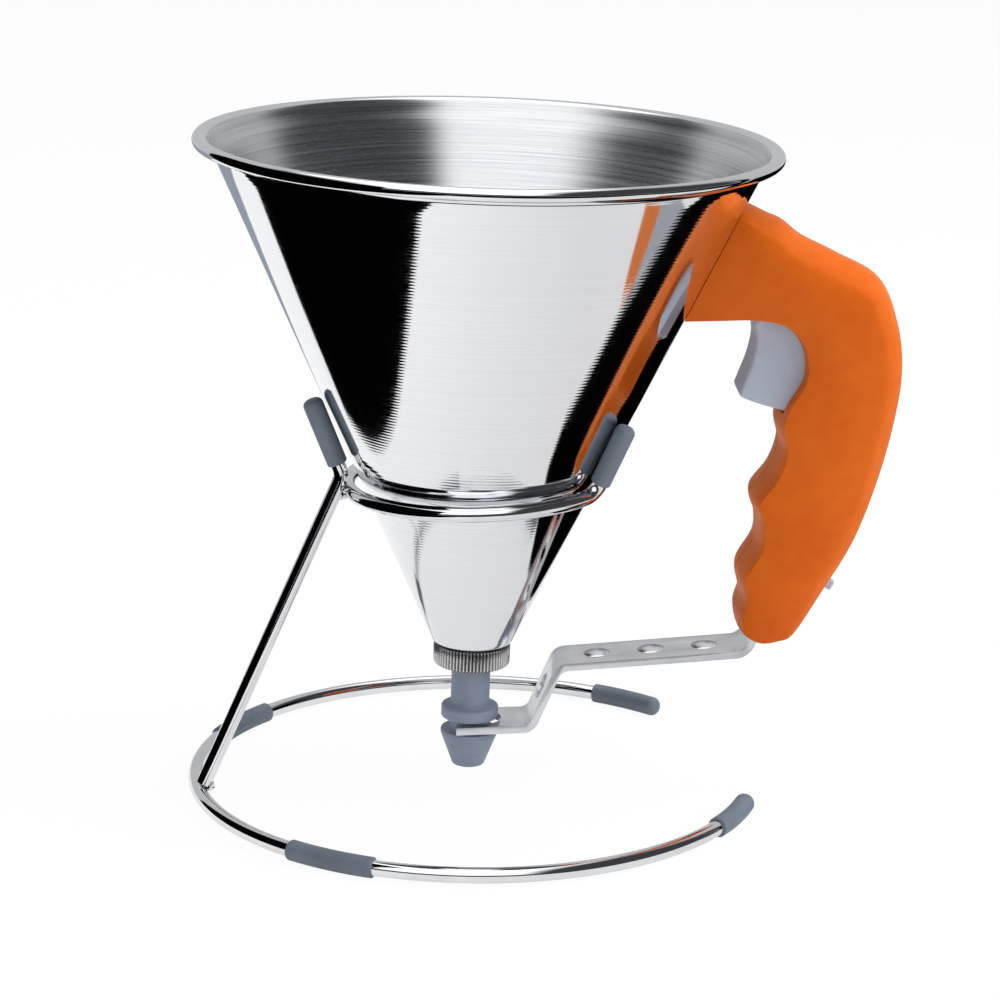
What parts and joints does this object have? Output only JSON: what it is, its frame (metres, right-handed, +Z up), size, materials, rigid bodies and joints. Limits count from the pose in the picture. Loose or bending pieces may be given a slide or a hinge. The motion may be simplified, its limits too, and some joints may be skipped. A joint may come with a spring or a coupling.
{
  "type": "batter dispenser",
  "caption": "Steel batter funnel with a pistol handle, a trigger that lifts a piston nozzle through a bent lever, and an open wire stand that cradles the cone.",
  "frame": {"origin": "point of the table under the middle of the stand's base ring", "axes": "+Z up, +X from the nozzle towards the handle, +Y to the back; the funnel's own axis leans 1.2 degrees towards +X and 0.75 degrees towards the front"},
  "size_m": [0.1858, 0.1524, 0.1745],
  "materials": {
    "funnel_steel": "satin, spun",
    "nut_steel": "satin, knurled",
    "lever_steel": "satin",
    "pin_steel": "satin",
    "chromed_wire": "bright",
    "grey_sleeve": "matte",
    "seal_rubber": "matte",
    "nozzle_grey": "satin",
    "trigger_grey": "satin",
    "handle_orange": "satin, fine texture"
  },
  "bodies": {
    "stand": {"base_ring": "chromed_wire", "upright": "chromed_wire", "cradle_ring": "chromed_wire", "weld_beads": "chromed_wire", "foot_sleeve_front": "grey_sleeve", "foot_sleeve_back": "grey_sleeve", "end_cap_front": "grey_sleeve", "end_cap_back": "grey_sleeve", "prong_sleeve_left": "grey_sleeve", "prong_sleeve_front": "grey_sleeve", "prong_sleeve_back": "grey_sleeve"},
    "funnel": {"hopper_cone": "funnel_steel", "spout_ferrule": "funnel_steel", "stem_seal": "seal_rubber", "neck_gasket": "seal_rubber", "handle_bracket": "lever_steel", "handle_shell_front": "handle_orange", "handle_shell_back": "handle_orange", "handle_screws": "pin_steel", "pivot_pin": "pin_steel", "return_spring": "pin_steel"},
    "lever": {"lever_arm": "lever_steel", "trigger": "trigger_grey", "trigger_rivets": "pin_steel"},
    "nozzle": {"piston_nozzle": "nozzle_grey"},
    "nut": {"knurled_nut": "nut_steel"},
    "slider": {"flow_slider": "trigger_grey"}
  },
  "joints": [
    {"name": "funnel_lift", "type": "slide", "parent": "stand", "child": "funnel", "axis": [0.0209, -0.0131, 0.9997], "range_m": [0, 0.12]},
    {"name": "trigger_squeeze", "type": "hinge", "parent": "funnel", "child": "lever", "pos_m": [0.07925, 0.00044, 0.04784], "axis": [0.0003, 0.9999, 0.0131], "range_deg": [0, 5], "stiffness_Nm_per_rad": 0.3, "springref_deg": -20.05, "deforming": ["return_spring"]},
    {"name": "nozzle_rise", "type": "slide", "parent": "funnel", "child": "nozzle", "axis": [0.0209, -0.0131, 0.9997], "range_m": [0, 0.0071]},
    {"name": "nut_turn", "type": "hinge", "parent": "funnel", "child": "nut", "pos_m": [-0.001, 0.00062, 0.03576], "axis": [0.0209, -0.0131, 0.9997], "continuous": true},
    {"name": "flow_slide", "type": "slide", "parent": "funnel", "child": "slider", "axis": [0.5, -0.0115, 0.866], "range_m": [0, 0.006]}
  ],
  "couplings": [
    {"joint": "nozzle_rise", "follows": "trigger_squeeze", "m_per_rad": 0.08}
  ]
}
